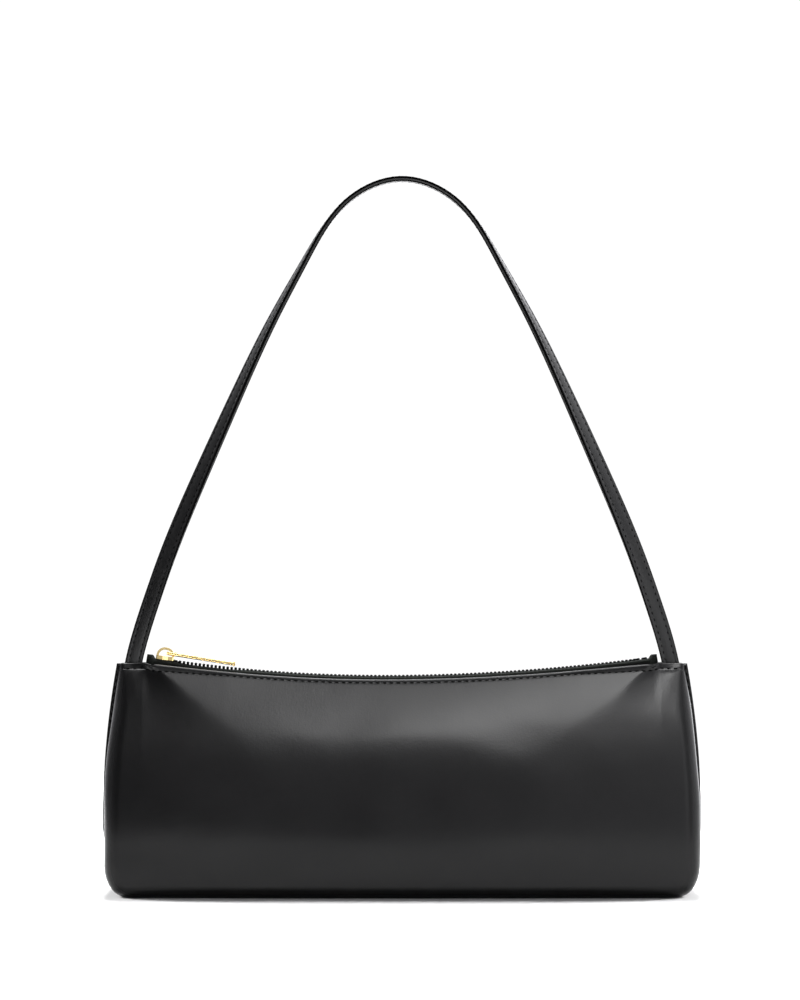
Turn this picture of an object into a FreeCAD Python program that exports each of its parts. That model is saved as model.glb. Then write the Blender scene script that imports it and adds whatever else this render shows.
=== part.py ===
import FreeCAD
import Part
import math
import os

# Small zip-top shoulder bag in smooth leather with a slim twisted strap.
# Millimetres. Z is up, X runs along the bag, the front faces -Y, and the
# origin is the middle of the base, on the surface that the bag stands on.

V = FreeCAD.Vector
UP = V(0, 0, 1)
LEFT, RIGHT = -1, 1
FRONT, BACK = -1, 1

# Overall size of the leather body
body_length = 295.0        # across the side walls where they are widest
end_lean = 7.0             # how far each end leans in from there to the top edge
body_height = 115.0        # top edge at the corners
body_depth = 67.0          # front to back at the fullest height
widest_height = 38.0       # where the body is longest
fullest_height = 26.0      # where the body is deepest
panel_bow = 3.0            # how much fuller a panel is at its middle than at its ends
base_round_length = 11.0   # how far the ends draw in towards the floor
base_round_depth = 8.0     # how far the front and back draw in towards the floor
base_round_height = 16.0
corner_round = 8.0         # upright corner between a side and a panel
corner_steps = 3
leather = 1.6
seam_fin = 2.0             # stitched edge that stands out along each side seam
seam_foot = 17.0           # height where the fin begins
seam_run_out = 16.0        # height over which it grows to its full width

# Mouth and zipper
mouth_sag = 7.3            # dip of the top edge at mid length
mouth_margin = 16.5        # end of the open slot inside the top corner
mouth_taper = 5.0          # length over which the slot closes up
chain_sag = 9.4            # dip of the row of teeth between the slot's ends
chain_drop = 0.1           # middle of the teeth below the top edge at mid length
tape = 0.6                 # thickness of the woven tape
tape_overhang = 3.7        # tape beyond the slot's end
tape_flat_end = 0.4        # tape beyond the slot's end that still lies flat
tape_leg = 8.0             # tape below the top edge, behind the leather
tape_fin = 1.8             # height of the upright tape end above the row of teeth
tape_fin_gap = 0.8         # between the two upright tape ends
tape_edge = 0.7            # from the zipper's centre line to a tape's edge
tape_stations = 14
tooth_pitch = 2.0
tooth_thick = 0.92
tooth_height = 2.4
tooth_reach = 1.9          # from the centre line out over the tape
tooth_head = 0.55          # past the centre line, between two teeth of the other row
stop_length = 1.8
bottom_stop_length = 2.6
bottom_stop_set_in = 2.4   # bottom stop's middle inside the slot's end

# Slider and pull tab
slider_length = 9.0
slider_front_half = 3.7
slider_rear_half = 2.95
slider_plate = 0.9
slider_flange = 0.75
slider_slot = 1.1          # for the tape, between the upper and lower flanges
slider_corner = 0.7
slider_set_in = 5.0        # closed slider's middle inside the slot's end
wedge_half = 0.5
wedge_length = 2.9
wedge_set_in = 0.35        # from the slider's front end
crown_height = 4.3
crown_length = 9.0
crown_width = 2.4
crown_band = 1.25
crown_round = 4.2
pull_length = 34.0         # from the swing axis to the tip
pull_half = 2.75
pull_thick = 1.8
pull_eye_half = 1.6
pull_eye_length = 4.5      # from the swing axis to the eye's far end
pull_set_back = 1.25       # swing axis behind the slider's middle
pull_pin = 1.6             # eye's cross-bar, front to back of the bar
pull_edge = 0.35           # chamfer along the bar
pull_lip = 1.3             # length of the thicker tip
pull_lip_proud = 0.3

# Strap
strap_width = 8.5
strap_thick = 2.6
strap_inset = 6.9          # middle of the strap inside the top corner
strap_rise = 239.0         # fold line to the top of the arch
strap_sewn_in = 6.5        # strap end below the top edge, between the panels
strap_bend_height = 3.0    # fold line above the top edge
strap_stub_height = 1.1    # sewn-in end above the top edge
strap_stub_ridge = 0.8     # its narrowed top
strap_stations = 10        # along each leg

# Lining and stiffener, inside
lining = 0.5
lining_drop = 7.0          # lining's edge below the top edge
board = 1.1
board_end_gap = 7.5        # board's ends inside the flat of the base
board_side_gap = 5.5
board_corner = 9.0

# Clearances
fit = 0.05                 # sewn or clamped pieces
ply_gap = 0.1              # between soft layers
run_gap = 0.3              # between pieces that move past each other
overrun = 5.0              # extra on every cutting tool

# Shares chosen by hand
level_shares = (0, 0.01, 0.04, 0.1, 0.2, 0.32, 0.48, 0.63, 0.76, 0.87, 0.94, 1)
lining_level_shares = (0, 0.05, 0.3, 0.65, 0.9)
panel_span_shares = (0, 0.3, 0.6, 0.88, 1)
panel_end_shares = (0.17, 0.33, 1)
strap_span_shares = (1, 0.88, 0.758, 0.625, 0.483, 0.361, 0.2, 0)
strap_rise_shares = (0, 0.206, 0.374, 0.5405, 0.707, 0.8316, 0.956, 1)
corner_share = 0.55        # of the side's half depth
inner_corner_share = 0.25
strap_turned_share = 0.95  # of the rise, where the strap has turned on edge
slider_wide_share = 0.38   # of the slider's length
slider_taper_share = 0.66
wedge_nose_share = 0.6
wedge_wide_share = 0.45
hem_shares = (0.45, 0.55)
board_level_share = 0.5

# Worked out from the sizes above
half_length = body_length / 2
half_depth = body_depth / 2
half_top = half_length - end_lean
mouth_end = half_top - mouth_margin
strap_root_half = half_top - strap_inset
top_mid = body_height - mouth_sag
tooth_half = tooth_height / 2
tape_half = tape / 2
cavity_half = tooth_half + run_gap
slider_top = cavity_half + slider_plate
tape_bend = slider_front_half + 2 * run_gap
tape_seat = leather + ply_gap + tape
slot_outer = tape_bend + tape + tape_seat
pinch_half = strap_thick / 2 + 2 * ply_gap
pinch_outer = pinch_half + leather
slot_shut = mouth_end + mouth_taper
chain_mid = top_mid - chain_drop
chain_radius = (mouth_end ** 2 + chain_sag ** 2) / (2 * chain_sag)
chain_centre = V(0, 0, chain_mid + chain_radius)
closed_at = slider_set_in - mouth_end
stop_at = mouth_end - bottom_stop_set_in
pull_height = slider_top + 2 * run_gap + pull_thick / 2
lining_inset = tape_seat + tape + ply_gap
lining_inner = lining_inset + lining
fold_height = body_height + strap_bend_height


# Form of the body

def smooth(t):
    t = min(max(t, 0), 1)
    return t * t * (3 - 2 * t)


def drawn_in(z):
    """How far the base rounding has drawn in at a height: 1 on the floor, 0 above it."""
    t = min(max(1 - z / base_round_height, 0), 1)
    return 1 - math.sqrt(1 - t * t)


def side_at(z):
    """Half length of the outer face at a height."""
    rise = max((z - widest_height) / (body_height - widest_height), 0)
    return half_length - end_lean * rise ** 2 - base_round_length * drawn_in(z)


def edge_at(x):
    """Height of the panels' top edge."""
    return body_height - mouth_sag * max(1 - (x / slot_shut) ** 2, 0)


def depth_at(x, z):
    """Half depth of the outer face at a place along the bag and a height."""
    full = half_depth - panel_bow * (x / half_length) ** 2
    top = slot_outer + (pinch_outer - slot_outer) * smooth((abs(x) - mouth_end) / mouth_taper)
    rise = min(max((z - fullest_height) / (edge_at(x) - fullest_height), 0), 1)
    return full - (full - top) * rise ** 2 - base_round_depth * drawn_in(z)


def half_outline(z, inset):
    """Closed outline of the front half of the body at a height, some way inside the outer face."""
    side = side_at(z) - inset
    depth = depth_at(side + inset, z)
    round_off = min(corner_round, corner_share * depth) - inset
    round_off = max(round_off, inner_corner_share * (depth - inset))
    near = side - round_off
    places = [mouth_end * share for share in panel_span_shares]
    places += [mouth_end + (near - mouth_end) * share for share in panel_end_shares]
    right = [V(x, inset - depth_at(x, z), 0) for x in places]
    turn = right[-1] + V(0, round_off, 0)
    for i in range(1, corner_steps + 1):
        angle = math.pi / 2 * i / corner_steps
        right.append(turn + V(math.sin(angle), -math.cos(angle), 0) * round_off)
    right.append(right[-1] + V(0, half_depth + overrun, 0))
    left = [V(-p.x, p.y, 0) for p in reversed(right[1:])]
    outline = Part.makePolygon(left + right + left[:1])
    outline.translate(UP * (z + inset * max(1 - z / base_round_height, 0)))
    return outline


def half_body(inset, top, shares):
    """Front half of the body as one solid up to a height, some way inside the outer face."""
    levels = [body_height * share for share in shares]
    levels = [z for z in levels if z < top] + [top]
    return Part.makeLoft([half_outline(z, inset) for z in levels], True, True)


def above_edge(drop):
    """Tool that clears everything above a line this far below the top edge."""
    end = half_length + seam_fin + overrun
    corner = body_height - drop
    top = body_height + 2 * overrun + mouth_sag
    depth = half_depth + overrun
    points = [V(-slot_shut, -depth, corner), V(0, -depth, top_mid - drop), V(slot_shut, -depth, corner)]
    start, finish = V(-end, -depth, corner), V(end, -depth, corner)
    edges = [
        Part.makeLine(start, points[0]),
        Part.Arc(*points).toShape(),
        Part.makeLine(points[2], finish),
        Part.makeLine(finish, V(end, -depth, top)),
        Part.makeLine(V(end, -depth, top), V(-end, -depth, top)),
        Part.makeLine(V(-end, -depth, top), start),
    ]
    return Part.Face(Part.Wire(edges)).extrude(V(0, 2 * depth, 0))


def seam_strip(side):
    """Front half of the stitched fin along a side seam."""
    heights = [body_height * share for share in level_shares]
    heights = [seam_foot] + [z for z in heights if z > seam_foot]
    inner = [V(side * (side_at(z) - leather / 2), 0, z) for z in heights]
    outer = []
    for z in heights:
        grown = smooth((z - seam_foot) / seam_run_out)
        outer.append(V(side * (side_at(z) - leather / 4 + (seam_fin + leather / 4) * grown), 0, z))
    outline = inner + outer[::-1] + inner[:1]
    return Part.Face(Part.makePolygon(outline)).extrude(V(0, -leather, 0))


def behind_seam():
    """Tool that clears everything behind the plane of the side seams."""
    width = body_length + 2 * overrun
    depth = 2 * (half_depth + overrun)
    height = body_height + 4 * overrun
    return Part.makeBox(width, depth, height, V(-width / 2, 0, -overrun))


def to_back(shape):
    return shape.mirror(V(0, 0, 0), V(0, 1, 0))


def panel():
    """Front leather panel: wall, half of the base and half of both side seams."""
    top = body_height + overrun
    skin = half_body(0, top, level_shares).cut([half_body(leather, top, level_shares), behind_seam()])
    skin = skin.fuse([seam_strip(LEFT), seam_strip(RIGHT)])
    return skin.cut(above_edge(0)).removeSplitter()


def lining_half():
    top = body_height - lining_drop / 2
    cloth = half_body(lining_inset, top, lining_level_shares)
    hollow = half_body(lining_inner, top, lining_level_shares)
    return cloth.cut([hollow, behind_seam(), above_edge(lining_drop)])


def stiffener():
    """Board that lies on the leather base, under the lining."""
    x = half_length - base_round_length - board_end_gap
    y = half_depth - base_round_depth - board_side_gap
    block = Part.makeBox(2 * x, 2 * y, board, V(-x, -y, leather + ply_gap * board_level_share))
    upright = [e for e in block.Edges if abs(e.tangentAt(e.FirstParameter).z) > board_level_share]
    return block.makeFillet(board_corner, upright)


# Zipper, drawn flat about its centre line and then set on the curve of the mouth

def on_chain(shape, place):
    """Moves a shape drawn at mid length to a place along the row of teeth."""
    moved = shape.copy()
    moved.rotate(chain_centre, V(0, -1, 0), math.degrees(place / chain_radius))
    return moved


def tape_outline(place, side):
    """Cross-section of a tape: flat by the teeth, then down behind the leather."""
    turn = place / chain_radius

    def height_of(z):
        return chain_radius - (chain_centre.z - z) / math.cos(turn)

    def x_of(height):
        return (chain_radius - height) * math.sin(turn)

    def behind_leather(height):
        z = chain_centre.z - (chain_radius - height) * math.cos(turn)
        return depth_at(x_of(height), z) - tape_seat

    upright = smooth((abs(place) - mouth_end - tape_flat_end) / (tape_overhang - tape_flat_end))
    edge_height = height_of(edge_at(x_of(0)))
    bend_height = min(edge_height, -tape) - tape * upright
    foot_height = edge_height - tape_leg
    bend = behind_leather(bend_height)
    fold = tape_bend + (bend - tape_bend) * upright
    inner = tape_edge + (tape_fin_gap / 2 + tape_half - tape_edge) * upright
    line = [
        (inner, tape_fin * upright),
        (fold + (inner - fold) * hem_shares[1] * upright, tape_fin * hem_shares[0] * upright),
        (bend, bend_height),
        (behind_leather(foot_height), foot_height),
    ]
    points = thick_line(line, tape_half)
    ring = []
    for across, height in points:
        reach = chain_radius - height
        ring.append(V(reach * math.sin(turn), side * across, chain_centre.z - reach * math.cos(turn)))
    return Part.makePolygon(ring + [ring[0]])


def thick_line(line, half):
    """Outline of a bent line given a thickness, with mitred bends."""
    upper, lower = [], []
    for i, (a, b) in enumerate(line):
        before = line[max(i - 1, 0)]
        after = line[min(i + 1, len(line) - 1)]
        directions = []
        for p, q in ((before, (a, b)), ((a, b), after)):
            length = math.hypot(q[0] - p[0], q[1] - p[1])
            if length > 0:
                directions.append(((q[0] - p[0]) / length, (q[1] - p[1]) / length))
        first, last = directions[0], directions[-1]
        normal = (-(first[1] + last[1]), first[0] + last[0])
        scale = half * 2 / (normal[0] ** 2 + normal[1] ** 2)
        upper.append((a + normal[0] * scale, b + normal[1] * scale))
        lower.append((a - normal[0] * scale, b - normal[1] * scale))
    return upper + lower[::-1]


def zipper_tape(side):
    flat = mouth_end + tape_flat_end
    end = mouth_end + tape_overhang
    places = [-end, -(flat + end) / 2]
    places += [flat * (2 * i / tape_stations - 1) for i in range(tape_stations + 1)]
    places += [(flat + end) / 2, end]
    return Part.makeLoft([tape_outline(place, side) for place in places], True, True)


def jaw_profile(head):
    """Tooth seen along the zipper: a head on the centre line and jaws over the tape."""
    slot = tape_half + fit
    throat = tape_edge - fit
    return [
        (-head, -tooth_half),
        (tooth_reach, -tooth_half),
        (tooth_reach, -slot),
        (throat, -slot),
        (throat, slot),
        (tooth_reach, slot),
        (tooth_reach, tooth_half),
        (-head, tooth_half),
    ]


def clamped(profile, length, side):
    """Piece of a given length along the zipper with this cross-section, at mid length."""
    points = [V(-length / 2, side * across, chain_mid + height) for across, height in profile]
    face = Part.Face(Part.makePolygon(points + [points[0]]))
    return face.extrude(V(length, 0, 0))


def teeth(side):
    """One row of teeth, half a pitch away from the other row."""
    first = closed_at - slider_length / 2 + wedge_set_in + wedge_length + tooth_thick
    if side == BACK:
        first += tooth_pitch / 2
    last = stop_at - bottom_stop_length / 2 - tooth_pitch / 2
    count = int((last - first) / tooth_pitch) + 1
    tooth = clamped(jaw_profile(tooth_head), tooth_thick, side)
    return Part.makeCompound([on_chain(tooth, first + i * tooth_pitch) for i in range(count)])


def top_stops():
    """Two clamps, one on each tape, that the closed slider's wedge lies between."""
    place = closed_at - slider_length / 2 + wedge_set_in + wedge_length / 2
    clear = -(wedge_half + fit)
    stops = [clamped(jaw_profile(clear), stop_length, side) for side in (FRONT, BACK)]
    return Part.makeCompound([on_chain(stop, place) for stop in stops])


def bottom_stop():
    """One clamp that holds both tapes together."""
    profile = jaw_profile(0)
    mirrored = [(-across, height) for across, height in profile]
    halves = [clamped(half, bottom_stop_length, BACK) for half in (profile, mirrored)]
    return on_chain(halves[0].fuse(halves[1]).removeSplitter(), stop_at)


def slider_outline(front, rear, beyond):
    """Slider seen from above: wide where the rows part, narrow behind."""
    start = -slider_length / 2
    wide = start + slider_length * slider_wide_share
    narrow = start + slider_length * slider_taper_share
    edge = [(start - beyond, front), (wide, front), (narrow, rear), (-start + beyond, rear)]
    return edge + [(along, -across) for along, across in reversed(edge)]


def slab(outline, low, high):
    """Upright solid with this outline between two heights about the row of teeth."""
    points = [V(along, across, chain_mid + low) for along, across in outline]
    face = Part.Face(Part.makePolygon(points + [points[0]]))
    return face.extrude(UP * (high - low))


def slider_body():
    """Two plates with side flanges, joined by the wedge that parts the rows."""
    outline = slider_outline(slider_front_half, slider_rear_half, 0)
    block = slab(outline, -slider_top, slider_top)
    corners = [e for e in block.Edges if abs(e.tangentAt(e.FirstParameter).z) > slider_wide_share]
    block = block.makeFillet(slider_corner, corners)
    front = slider_front_half - slider_flange
    rear = slider_rear_half - slider_flange
    channel = slab(slider_outline(front, rear, overrun), -cavity_half, cavity_half)
    wide = slider_front_half + overrun
    slot = slab(slider_outline(wide, wide, overrun), -slider_slot / 2, slider_slot / 2)
    start = wedge_set_in - slider_length / 2
    middle = start + wedge_length * wedge_wide_share
    edge = [(start, wedge_half * wedge_nose_share), (middle, wedge_half)]
    wedge = edge + [(start + wedge_length, 0)] + [(along, -across) for along, across in reversed(edge)]
    body = block.cut(channel).cut(slot).fuse(slab(wedge, -cavity_half - fit, cavity_half + fit))
    return on_chain(body.removeSplitter(), closed_at)


def arch(length, height, round_off):
    """Upright arch outline, standing on the slider's upper plate."""
    half, bend = length / 2, round_off * (1 - math.sqrt(1 / 2))

    def at(along, up):
        return V(along, -crown_width / 2, chain_mid + slider_top + up)

    edges = [
        Part.makeLine(at(-half, 0), at(-half, height - round_off)),
        Part.Arc(at(-half, height - round_off), at(bend - half, height - bend),
                 at(round_off - half, height)).toShape(),
        Part.makeLine(at(round_off - half, height), at(half - round_off, height)),
        Part.Arc(at(half - round_off, height), at(half - bend, height - bend),
                 at(half, height - round_off)).toShape(),
        Part.makeLine(at(half, height - round_off), at(half, 0)),
        Part.makeLine(at(half, 0), at(-half, 0)),
    ]
    return Part.Face(Part.Wire(edges)).extrude(V(0, crown_width, 0))


def slider_crown():
    """Arch that holds the pull tab's eye."""
    outer = arch(crown_length, crown_height, crown_round)
    inner = arch(crown_length - 2 * crown_band, crown_height - crown_band, crown_round - crown_band)
    return on_chain(outer.cut(inner), closed_at)


def pull_slope():
    """Lean of the resting pull tab, whose tip lies just above the teeth."""
    reach = pull_set_back + pull_length
    teeth_top = tooth_half + reach ** 2 / (2 * chain_radius)
    tip = teeth_top + run_gap + pull_thick / 2 + pull_lip_proud
    return math.degrees(math.asin((pull_height - tip) / pull_length))


def pull_tab():
    """Flat bar with an eye round the crown's rear leg and a thicker tip."""
    half = pull_thick / 2
    bar = Part.makeBox(pull_length, 2 * pull_half, pull_thick, V(0, -pull_half, -half))
    long_edges = [e for e in bar.Edges if abs(e.tangentAt(e.FirstParameter).x) > corner_share]
    bar = bar.makeChamfer(pull_edge, long_edges)
    nose = Part.makeCylinder(half, 2 * pull_half, V(0, -pull_half, 0), V(0, 1, 0))
    lip = Part.makeBox(pull_lip, 2 * pull_half, pull_thick + 2 * pull_lip_proud,
                       V(pull_length - pull_lip, -pull_half, -half - pull_lip_proud))
    lip = lip.makeChamfer(pull_edge, lip.Edges)
    eye = Part.makeBox(pull_eye_length - pull_pin / 2, 2 * pull_eye_half, pull_thick + 2 * overrun,
                       V(pull_pin / 2, -pull_eye_half, -half - overrun))
    tab = bar.fuse([nose, lip]).cut(eye).removeSplitter()
    tab.rotate(V(0, 0, 0), V(0, 1, 0), pull_slope())
    tab.translate(V(pull_set_back, 0, chain_mid + pull_height))
    return on_chain(tab, closed_at)


# Strap

def strap_curve():
    """Centre line of the strap, from the left fold line over the top to the right one."""
    spans = [strap_root_half * share for share in strap_span_shares]
    heights = [fold_height + strap_rise * share for share in strap_rise_shares]
    leg = [V(-x, 0, z) for x, z in zip(spans, heights)]
    other = [V(-p.x, 0, p.z) for p in reversed(leg[:-1])]
    curve = Part.BSplineCurve()
    curve.interpolate(Points=leg + other)
    return curve


def strap_outline(curve, place, inner, outer):
    """Cross-section of a ply at a place on the strap, between two distances from its centre."""
    point = curve.value(place)
    along = curve.tangent(place)[0]
    outward = V(-along.z, 0, along.x)
    rise = (point.z - fold_height) / strap_rise
    left = max(1 - rise / strap_turned_share, 0)
    turn = math.pi / 2 * (1 - left)
    face = V(0, FRONT, 0) * math.cos(turn) + outward * math.sin(turn)
    across = along.cross(face)
    if rise <= fit / strap_rise:
        face, across = V(0, FRONT, 0), V(1 / outward.x, 0, 0)
    corners = []
    for depth, side in ((inner, LEFT), (outer, LEFT), (outer, RIGHT), (inner, RIGHT)):
        corners.append(point + face * depth + across * (side * strap_width / 2))
    return Part.makePolygon(corners + [corners[0]])


def strap_ply(inner, outer):
    """One leather ply of the strap, with rounded ends on the fold line."""
    curve = strap_curve()
    first, last = curve.FirstParameter, curve.LastParameter
    count = 2 * strap_stations
    places = [first + (last - first) * i / count for i in range(count + 1)]
    ply = Part.makeLoft([strap_outline(curve, p, inner, outer) for p in places], True, False)
    half = strap_thick / 2
    low, high = -max(inner, outer), -min(inner, outer)
    ends = []
    for place in (first, last):
        xs = [v.X for v in strap_outline(curve, place, inner, outer).Vertexes]
        roll = Part.makeCylinder(half, max(xs) - min(xs), V(min(xs), 0, fold_height), V(1, 0, 0))
        keep = Part.makeBox(max(xs) - min(xs), high - low, half, V(min(xs), low, fold_height - half))
        ends.append(roll.common(keep))
    return ply.fuse(ends).removeSplitter()


def strap_end(side):
    """Strap end sewn in between the panels at a top corner, narrowed above the top edge."""
    half, ridge = strap_thick / 2, strap_stub_ridge / 2
    low = body_height - strap_sewn_in
    top = body_height + strap_stub_height
    shape = [(-half, low), (half, low), (half, body_height), (ridge, top), (-ridge, top), (-half, body_height)]
    x = side * strap_root_half - strap_width / 2
    points = [V(x, across, z) for across, z in shape]
    return Part.Face(Part.makePolygon(points + [points[0]])).extrude(V(strap_width, 0, 0))


# All pieces, one file each

os.makedirs("parts", exist_ok=True)

front = panel()
lining_front = lining_half()
pieces = {
    "front_panel": front,
    "back_panel": to_back(front),
    "lining_front": lining_front,
    "lining_back": to_back(lining_front),
    "base_stiffener": stiffener(),
    "zipper_tape_front": zipper_tape(FRONT),
    "zipper_tape_back": zipper_tape(BACK),
    "zipper_teeth_front": teeth(FRONT),
    "zipper_teeth_back": teeth(BACK),
    "zipper_top_stops": top_stops(),
    "zipper_bottom_stop": bottom_stop(),
    "slider_body": slider_body(),
    "slider_crown": slider_crown(),
    "pull_tab": pull_tab(),
    "strap_outer_ply": strap_ply(fit / 2, strap_thick / 2),
    "strap_inner_ply": strap_ply(-strap_thick / 2, -fit / 2),
    "strap_end_left": strap_end(LEFT),
    "strap_end_right": strap_end(RIGHT),
}

for name, piece in pieces.items():
    piece.exportStep("parts/" + name + ".step")
    print(name, "solids", len(piece.Solids), "valid", piece.isValid(), "volume", round(piece.Volume, 1))
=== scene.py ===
import math

import bmesh
import bpy
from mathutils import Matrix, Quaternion, Vector, noise


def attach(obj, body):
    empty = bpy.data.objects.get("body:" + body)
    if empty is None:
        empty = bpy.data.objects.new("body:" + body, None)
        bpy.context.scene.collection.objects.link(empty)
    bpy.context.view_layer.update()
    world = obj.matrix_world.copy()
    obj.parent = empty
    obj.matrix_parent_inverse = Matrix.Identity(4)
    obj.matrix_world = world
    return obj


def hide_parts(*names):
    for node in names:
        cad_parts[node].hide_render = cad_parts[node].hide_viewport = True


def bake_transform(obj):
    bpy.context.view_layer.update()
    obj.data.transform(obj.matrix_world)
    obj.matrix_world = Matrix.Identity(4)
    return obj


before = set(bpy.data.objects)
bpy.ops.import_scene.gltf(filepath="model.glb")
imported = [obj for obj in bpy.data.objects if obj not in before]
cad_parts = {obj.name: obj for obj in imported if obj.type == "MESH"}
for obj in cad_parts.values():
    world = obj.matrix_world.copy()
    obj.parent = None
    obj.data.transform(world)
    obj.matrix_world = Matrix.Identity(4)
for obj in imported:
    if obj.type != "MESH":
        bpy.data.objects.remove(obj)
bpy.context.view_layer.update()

# Looks of a small zip-top shoulder bag in smooth black leather with a slim twisted strap.
# Sizes are in millimetres, as in the part's own source, and meshes are made in metres.

MM = 0.001
FRONT, BACK = -1, 1
UP = Vector((0, 0, 1))

# Form of the body, the same as the part's
body_length = 295.0
end_lean = 7.0
body_height = 115.0
body_depth = 67.0
widest_height = 38.0
fullest_height = 26.0
panel_bow = 3.0
base_round_length = 11.0
base_round_depth = 8.0
base_round_height = 16.0
corner_round = 8.0
corner_share = 0.55
leather = 1.6
seam_fin = 2.0
seam_foot = 17.0
seam_run_out = 16.0

# Mouth and zipper, the same as the part's apart from the thicker teeth
mouth_sag = 7.3
mouth_end = 124.0
mouth_taper = 5.0
slot_outer = 7.2
pinch_outer = 3.1
chain_sag = 9.4
chain_drop = 0.1
tape = 0.6
tape_overhang = 4.1
tape_flat_end = 0.1
tape_leg = 8.0
tape_fin = 1.8
tape_fin_rise = 0.8        # length over which the tape's end stands up
tape_fin_gap = 0.8
tape_edge = 0.7
tape_bend = 4.3
tape_seat = 2.3
hem_shares = (0.45, 0.55)
tooth_pitch = 2.0
tooth_thick = 1.24
tooth_height = 2.4
tooth_reach = 1.9
tooth_head = 0.55
tooth_slot = 0.35
tooth_throat = 0.65
tooth_round = 0.2
first_tooth = -119.33
last_tooth = 119.3
pull_root = Vector((-116.786, 0, 119.872))
pull_tip = Vector((-83.3, 0, 114.1))
line_half, line_end = 0.03, 0.2    # sunk line on the pull's sides, from its middle; its darker gold is painted shade

# How the mouth and the rows of teeth really lie
skew = 0.4                 # the mouth lies higher on the right and lower on the left
chain_lift = 0.35          # rise of the teeth at mid length
mouth_dip = 0.75           # the leather's edge hangs lower in the middle than the chain
mouth_dip_half = 88.0
row_drop = 0.62            # back row below the front row, as the chain rolls a little
roll_from, roll_run = -117.0, 12.0
roll_end, roll_out = 120.0, 8.0
comb_drop = 0.8            # further drop by the slider, where the front row stands up like a comb
comb_from, comb_run = -114.0, 4.0
comb_end, comb_out = -88.0, 16.0

# Strap, the same as the part's apart from its lean, its rounded section and its stitches
strap_width = 8.5
strap_thick = 2.6
strap_root_half = 133.6
strap_rise = 239.0
strap_sewn_in = 6.5
strap_root_lean = 2.0      # sewn-in end outside the fold line's middle
fold_height = 118.0
strap_span_shares = (1, 0.937, 0.882, 0.758, 0.625, 0.483, 0.361, 0.2, 0)
strap_rise_shares = (0, 0.118, 0.206, 0.374, 0.5405, 0.707, 0.8316, 0.956, 1)
strap_turned_share = 0.95
face_shares = ((-1, 0.5), (-0.97, 0.82), (-0.9, 0.97), (-0.72, 1), (-0.61, 0.93), (-0.553, 0.88),
               (-0.49, 0.93), (-0.36, 1.01), (0, 1.04))
edge_shares = ((1.004, 0.12), (0.985, 0), (1.004, -0.12))
border_faces = 2           # faces of each border that the edge paint covers
strap_stitch_inset = 1.9
strap_stitch_foot = 1.5    # first stitches above the top corners
strap_stitch_share = 0.9   # of the half thickness, where they lie
strap_stitch_length = 1.5
strap_stitch_radius = 0.25

# Lining
lining_inset = 3.0
lining_drop = 7.0

# Soft forms of the leather
base_edge_depth = 3.6      # turn of the leather's faces under the base
base_edge_height = 5.0
pinch_spread = 70.0        # how far the pinch of the top corners spreads along the leather
pinch_spread_share = 1.6
pinch_fade = 1.5
undulation = 0.7           # soft unevenness of the leather
quiet_edge, quiet_run = 6.0, 22.0
slow_wave = (75.0, 42.0)
quick_wave = (26.0, 19.0)
quick_share = 0.22
quick_seed = 7.3
front_seed, back_seed = 1.7, 11.9
strap_bulge = 0.55         # where the strap's ends lie between the panels
bulge_from, bulge_rise = 1.5, 4.0
bulge_full, bulge_fade = 6.0, 16.0

# Hem, side seams and stitches
hem_stitch = 1.8           # stitch line below the fold at mid length, along the leather
hem_stitch_end = 3.0       # the same at the top corners
hem_stitch_from, hem_stitch_run = 0.55, 0.4
hem_groove = 0.05
hem_groove_half = 0.3
hem_hole = 0.08            # dimple at each needle hole
hem_hole_half = 0.4
hem_swell = 0.24
hem_swell_power = 0.6      # below 1, the swell is fullest near the fold
hem_pillow = 0.05          # leather puffed up below the stitches
hem_pillow_rise, hem_pillow_fade = 1.2, 7.0
hem_stand = 1.1            # the hem stands more upright towards the top corners
hem_stand_from, hem_stand_run = 70.0, 45.0
hem_stand_end, hem_stand_out = 128.0, 8.0
lip_round = 0.8
seam_root = -0.5           # the fin's edge at its foot, inside the wall
seam_foot_share = 0.82
seam_top_gap = 0.15
stitch_pitch = 3.4
stitch_length = 2.2
stitch_radius = 0.37
stitch_sink = 1.6          # of the groove's depth
seam_stitch_foot = 6.0
seam_stitch_top = 2.0
seam_stitch_out = 0.85

# Steps of the meshes
side_steps, corner_steps, panel_steps = 8, 10, 460
base_shares = (0, 0.3, 0.6, 0.85, 1)
foot_shares = (0.004, 0.012, 0.024, 0.04, 0.06, 0.085, 0.115, 0.145)
wall_share, wall_steps = 0.175, 40
hem_drops = (9, 7.6, 6.4, 5.4, 4.6, 4.0, 3.6, 3.3, 3.05, 2.8, 2.55, 2.3, 2.05, 1.75, 1.4, 1.1, lip_round)
hem_leg_drops = (2.5, 5, 8, 11)
lip_steps = 6
hem_steps = 600
lining_steps, lining_rows = 60, 24
seam_steps, seam_path_steps = 60, 100
thread_sides = 8
tape_steps = 360
strap_frames = 420
last_share = 0.9999999     # keeps the strap's last point inside its last span

# Worked out from the sizes above
half_length = body_length / 2
half_depth = body_depth / 2
slot_shut = mouth_end + mouth_taper
chain_mid = body_height - mouth_sag - chain_drop
chain_radius = (mouth_end ** 2 + chain_sag ** 2) / (2 * chain_sag)
chain_centre = chain_mid + chain_radius


# Meshes

def add_object(name, points, faces, materials, slots=None):
    """Smooth-shaded mesh object from points in millimetres."""
    mesh = bpy.data.meshes.new(name)
    mesh.from_pydata([Vector(p) * MM for p in points], [], faces)
    for material in materials:
        mesh.materials.append(material)
    if slots:
        mesh.polygons.foreach_set("material_index", slots)
    mesh.shade_smooth()
    mesh.update()
    thing = bpy.data.objects.new(name, mesh)
    bpy.context.scene.collection.objects.link(thing)
    return thing


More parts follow.
